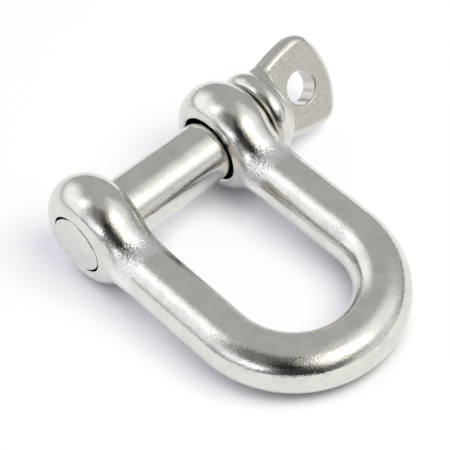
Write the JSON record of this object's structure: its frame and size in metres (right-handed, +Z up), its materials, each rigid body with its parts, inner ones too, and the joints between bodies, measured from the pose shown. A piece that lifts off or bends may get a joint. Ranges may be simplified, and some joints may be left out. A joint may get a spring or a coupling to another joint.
{
  "type": "dee shackle",
  "caption": "Dee shackle with two eared legs joined by a half-round crown, closed by a screw collar pin with a flat holed tab.",
  "frame": {"origin": "on the pin's axis, half-way between the ears' inner faces", "axes": "+X along the pin towards its tab, +Y away from the crown, +Z up with the shackle lying on its side"},
  "size_m": [0.0427, 0.0437, 0.0148],
  "materials": {
    "bow_steel": "polished over a fine cast grain",
    "pin_steel": "polished shank, blasted matt tab",
    "collar_steel": "polished"
  },
  "bodies": {
    "shackle_body": {"shackle_body": "bow_steel"},
    "pin_collar": {"pin_collar": "collar_steel"},
    "screw_pin": {"screw_pin": "pin_steel"}
  },
  "joints": [
    {"name": "pin_travel", "type": "slide", "parent": "shackle_body", "child": "pin_collar", "axis": [1, 0, 0], "range_m": [0, 0.03001]},
    {"name": "pin_turn", "type": "hinge", "parent": "pin_collar", "child": "screw_pin", "pos_m": [0, 0, 0], "axis": [1, 0, 0], "range_deg": [0, 8640]}
  ],
  "couplings": [
    {"joint": "pin_travel", "follows": "pin_turn", "m_per_rad": 0.00019894}
  ]
}
